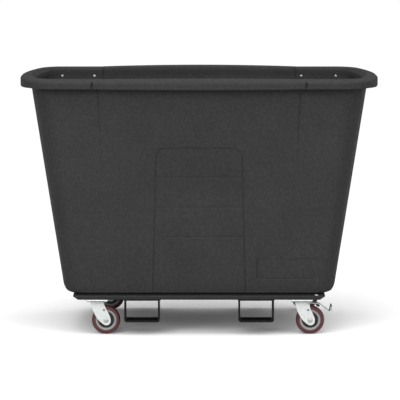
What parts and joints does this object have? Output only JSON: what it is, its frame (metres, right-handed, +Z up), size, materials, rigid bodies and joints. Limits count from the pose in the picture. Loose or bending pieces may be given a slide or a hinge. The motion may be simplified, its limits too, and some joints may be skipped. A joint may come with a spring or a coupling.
{
  "type": "laundry cart",
  "caption": "Tapered moulded plastic laundry tub with a rolled rim on a black steel base with fork straps and plated swivel casters, one end braked.",
  "frame": {"origin": "on the floor, under the middle of the cart", "axes": "+X along the length towards the braked casters, +Y across the width towards the rear, +Z up"},
  "size_m": [1.6174, 0.9278, 1.147],
  "materials": {
    "tub_plastic": "charcoal rotomoulded polyethylene, fine pebbled grain",
    "black_paint": "satin black enamel over steel",
    "zinc_plate": "bright zinc plating on pressed steel",
    "zinc_hardware": "zinc plated fasteners and bearings",
    "pedal_steel": "bright plated pressed steel",
    "core_plastic": "light grey moulded nylon",
    "tread_urethane": "maroon cast polyurethane, semi-gloss",
    "shoe_rubber": "black moulded rubber"
  },
  "bodies": {
    "cart": {"ball_race_front_left": "zinc_hardware", "ball_race_front_right": "zinc_hardware", "ball_race_rear_left": "zinc_hardware", "ball_race_rear_right": "zinc_hardware", "base_frame": "black_paint", "caster_bolt_front_left_a1": "zinc_hardware", "caster_bolt_front_left_a2": "zinc_hardware", "caster_bolt_front_left_b1": "zinc_hardware", "caster_bolt_front_left_b2": "zinc_hardware", "caster_bolt_front_right_a1": "zinc_hardware", "caster_bolt_front_right_a2": "zinc_hardware", "caster_bolt_front_right_b1": "zinc_hardware", "caster_bolt_front_right_b2": "zinc_hardware", "caster_bolt_rear_left_a1": "zinc_hardware", "caster_bolt_rear_left_a2": "zinc_hardware", "caster_bolt_rear_left_b1": "zinc_hardware", "caster_bolt_rear_left_b2": "zinc_hardware", "caster_bolt_rear_right_a1": "zinc_hardware", "caster_bolt_rear_right_a2": "zinc_hardware", "caster_bolt_rear_right_b1": "zinc_hardware", "caster_bolt_rear_right_b2": "zinc_hardware", "caster_plate_front_left": "zinc_plate", "caster_plate_front_right": "zinc_plate", "caster_plate_rear_left": "zinc_plate", "caster_plate_rear_right": "zinc_plate", "fork_strap_front_left": "black_paint", "fork_strap_front_right": "black_paint", "fork_strap_rear_left": "black_paint", "fork_strap_rear_right": "black_paint", "kingpin_front_left": "zinc_hardware", "kingpin_front_right": "zinc_hardware", "kingpin_rear_left": "zinc_hardware", "kingpin_rear_right": "zinc_hardware", "rim_screw_a": "zinc_hardware", "rim_screw_b": "zinc_hardware", "rim_screw_c": "zinc_hardware", "rim_screw_d": "zinc_hardware", "tub": "tub_plastic"},
    "swivel_front_left": {"caster_fork_front_left": "zinc_plate", "axle_bolt_front_left": "zinc_hardware"},
    "wheel_front_left": {"wheel_core_front_left": "core_plastic", "wheel_tread_front_left": "tread_urethane"},
    "swivel_front_right": {"caster_fork_front_right": "zinc_plate", "axle_bolt_front_right": "zinc_hardware", "pedal_pin_front": "zinc_hardware"},
    "wheel_front_right": {"wheel_core_front_right": "core_plastic", "wheel_tread_front_right": "tread_urethane"},
    "pedal_front": {"brake_pedal_front": "pedal_steel", "brake_shoe_front": "shoe_rubber"},
    "swivel_rear_left": {"caster_fork_rear_left": "zinc_plate", "axle_bolt_rear_left": "zinc_hardware"},
    "wheel_rear_left": {"wheel_core_rear_left": "core_plastic", "wheel_tread_rear_left": "tread_urethane"},
    "swivel_rear_right": {"caster_fork_rear_right": "zinc_plate", "axle_bolt_rear_right": "zinc_hardware", "pedal_pin_rear": "zinc_hardware"},
    "wheel_rear_right": {"wheel_core_rear_right": "core_plastic", "wheel_tread_rear_right": "tread_urethane"},
    "pedal_rear": {"brake_pedal_rear": "pedal_steel", "brake_shoe_rear": "shoe_rubber"}
  },
  "joints": [
    {"name": "caster_swivel_front_left", "type": "hinge", "parent": "cart", "child": "swivel_front_left", "pos_m": [-0.455, -0.351, 0.152], "axis": [0, 0, 1], "continuous": true},
    {"name": "wheel_spin_front_left", "type": "hinge", "parent": "swivel_front_left", "child": "wheel_front_left", "pos_m": [-0.415, -0.351, 0.0635], "axis": [0, 1, 0], "continuous": true},
    {"name": "caster_swivel_front_right", "type": "hinge", "parent": "cart", "child": "swivel_front_right", "pos_m": [0.455, -0.351, 0.152], "axis": [0, 0, 1], "range_deg": [-140, 140]},
    {"name": "wheel_spin_front_right", "type": "hinge", "parent": "swivel_front_right", "child": "wheel_front_right", "pos_m": [0.495, -0.351, 0.0635], "axis": [0, 1, 0], "continuous": true},
    {"name": "brake_pedal_front_press", "type": "hinge", "parent": "swivel_front_right", "child": "pedal_front", "pos_m": [0.487, -0.351, 0.1375], "axis": [0, 1, 0], "range_deg": [0, 6]},
    {"name": "caster_swivel_rear_left", "type": "hinge", "parent": "cart", "child": "swivel_rear_left", "pos_m": [-0.455, 0.351, 0.152], "axis": [0, 0, 1], "continuous": true},
    {"name": "wheel_spin_rear_left", "type": "hinge", "parent": "swivel_rear_left", "child": "wheel_rear_left", "pos_m": [-0.415, 0.351, 0.0635], "axis": [0, 1, 0], "continuous": true},
    {"name": "caster_swivel_rear_right", "type": "hinge", "parent": "cart", "child": "swivel_rear_right", "pos_m": [0.455, 0.351, 0.152], "axis": [0, 0, 1], "range_deg": [-140, 140]},
    {"name": "wheel_spin_rear_right", "type": "hinge", "parent": "swivel_rear_right", "child": "wheel_rear_right", "pos_m": [0.495, 0.351, 0.0635], "axis": [0, 1, 0], "continuous": true},
    {"name": "brake_pedal_rear_press", "type": "hinge", "parent": "swivel_rear_right", "child": "pedal_rear", "pos_m": [0.487, 0.351, 0.1375], "axis": [0, 1, 0], "range_deg": [0, 6]}
  ]
}
